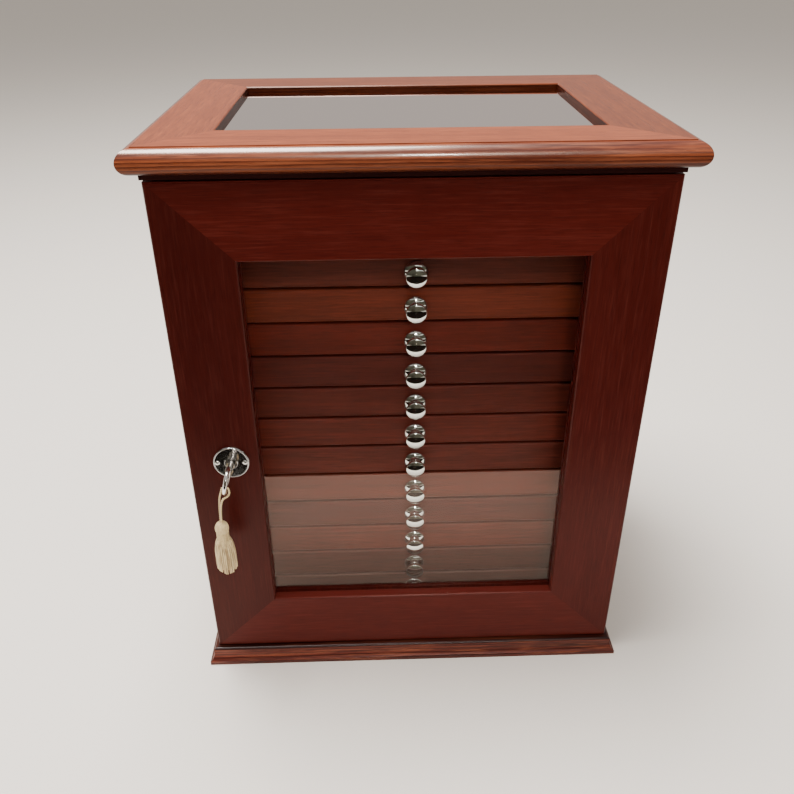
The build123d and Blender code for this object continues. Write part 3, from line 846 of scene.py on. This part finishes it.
# The heart's outline as (distance below the top, radius)
heart_outline = (
    (0.0006, 0.0),
    (0.0008, 0.0028),
    (0.0035, 0.0042),
    (0.0075, 0.0038),
    (0.0135, 0.0034),
    (0.0240, 0.0048),
    (0.0260, 0.0),
)


def round_tassel(radius, angle, drop):
    """A place at a radius and an angle round the tassel's middle, below its top."""
    return (
        head_x + radius * math.cos(angle),
        wire.y + radius * math.sin(angle),
        head_top - drop,
    )


def strand(angle, lock_angle, lock_lift, profile, dice):
    """One strand's points. Below the neck it is drawn towards the middle of its lock, sways
    to a side, and ends a little higher or deeper than its neighbours."""
    sway = dice.uniform(-0.08, 0.08)
    lift = lock_lift + dice.uniform(0.0, 0.0009)
    depth = dice.uniform(0.0, 0.0005)
    path = []
    for drop, radius, width in profile:
        share = max(0.0, (drop - skirt_top) / skirt_length)
        drawn = (lock_angle - angle) * 0.25 * share**2
        turn = angle + drawn + sway * share * (1 - 0.6 * share)
        reach = radius - depth * min(1, 2 * share)
        path.append((round_tassel(reach, turn, drop - lift * share), width))
    return path


def tassel_strands():
    """Three layers of strands, each in so many locks of so many strands."""
    dice = random.Random(7)
    layers = ((10, 3, outer_profile), (8, 3, inner_profile), (5, 2, core_profile))
    paths = []
    for locks, in_lock, profile in layers:
        for lock in range(locks):
            lock_angle = 2 * math.pi * (lock + 0.5) / locks
            lock_lift = dice.uniform(0.0, 0.0014)
            for member in range(in_lock):
                angle = 2 * math.pi * (lock + (member + 0.5) / in_lock) / locks
                paths.append(strand(angle, lock_angle, lock_lift, profile, dice))
    return curve_object("tassel_strands", paths, 5, order=4, thickness=strand_radius)


def tassel_binding():
    """Five close turns of thread round the neck."""
    turns, per_turn = 5, 12
    path = []
    for step in range(turns * per_turn + 1):
        turned = step / per_turn
        drop = binding_drop + binding_pitch * turned
        path.append((round_tassel(binding_radius, 2 * math.pi * turned, drop), 1))
    return curve_object("tassel_binding", [path], 4, thickness=binding_thread)


def tassel_heart():
    """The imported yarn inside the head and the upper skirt, behind the strands."""
    place = Vector((head_x, wire.y, head_top))
    return lathe("tassel_heart", heart_outline, place, downwards, sideways, 32)


tassel_pieces = [tassel_strands(), tassel_binding(), tassel_heart()]
for piece in [cord, *tassel_pieces]:
    piece.data.materials.append(thread)
    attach(piece, "tassel")
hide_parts("tassel_cord")
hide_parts("tassel")


# Stage: a pale floor, the parts of a room that only mirrors see, a small light in front, a
# soft one above and a pale surround
def plain_mesh(name, places, faces):
    mesh = bpy.data.meshes.new(name)
    mesh.from_pydata(places, [], faces)
    return link(bpy.data.objects.new(name, mesh))


def level_board(name, low, high, height):
    (left, front), (right, back) = low, high
    plan = [(left, front), (right, front), (right, back), (left, back)]
    return plain_mesh(name, [(x, y, height) for x, y in plan], [(0, 1, 2, 3)])


def wall(name, plan, low, high):
    """Upright boards over the corners of a plan, from one level to another."""
    places = [(x, y, level) for x, y in plan for level in (low, high)]
    faces = [(2 * i, 2 * i + 2, 2 * i + 3, 2 * i + 1) for i in range(len(plan) - 1)]
    return plain_mesh(name, places, faces)


def seen_by_mirrors(panel, colour):
    """A board that only mirrors see, as a side of the room."""
    graph = Graph(panel.name)
    cloud = graph.noise(graph.position, 0.8, 2.0, 0.5)
    glow = graph.mix(graph.ramp(cloud, 0.3, 0.7, 0.3, 1.0), (0, 0, 0), colour)
    panel.data.materials.append(graph.show(graph.node("ShaderNodeEmission", {"Color": glow})))
    panel.visible_camera = False
    panel.visible_diffuse = False
    panel.visible_shadow = False
    panel.visible_transmission = False


def area_light(name, place, size, power, colour):
    """A rectangular light that points at the middle of the cabinet's height."""
    target = Vector((0, 0, 0.2))
    data = bpy.data.lights.new(name, "AREA")
    data.shape = "RECTANGLE"
    data.size, data.size_y = size
    data.energy = power
    data.color = colour
    light = link(bpy.data.objects.new(name, data))
    light.location = place
    light.rotation_euler = (target - Vector(place)).to_track_quat("-Z", "Y").to_euler()
    light.visible_camera = False


floor = level_board("floor", (-10, -10), (10, 10), -0.0002)
cloth = Graph("pale_cloth").surface(base_color=(0.88, 0.82, 0.745), roughness=0.9)
floor.data.materials.append(cloth)

dark_floor = level_board("dark_floor", (-1.2, -3.0), (1.2, -0.352), 0.002)
room_plan = [(-3.2, -0.4), (-3.0, -2.0), (-2.0, -3.0), (2.0, -3.0), (3.0, -2.0), (3.2, -0.4)]
strip_plan = [(-0.1, -2.95), (1.95, -2.95), (2.9, -2.0), (3.1, -0.4)]
seen_by_mirrors(dark_floor, (0.012, 0.010, 0.008))
seen_by_mirrors(wall("dark_room", room_plan, 0.0, 2.6), (0.14, 0.125, 0.09))
seen_by_mirrors(wall("lamp_strip", strip_plan, 1.5, 1.72), (3.0, 2.9, 2.7))

area_light("key_light", (0.14, -1.7, 1.45), (0.16, 0.16), 14.5, (1.0, 0.96, 0.91))
area_light("top_light", (-0.35, 0.12, 2.0), (1.0, 0.8), 92, (1.0, 0.97, 0.94))

world = bpy.data.worlds.new("world")
bpy.context.scene.world = world
world.use_nodes = True
background = world.node_tree.nodes["Background"]
background.inputs["Color"].default_value = (0.49, 0.46, 0.435, 1)
background.inputs["Strength"].default_value = 1.0
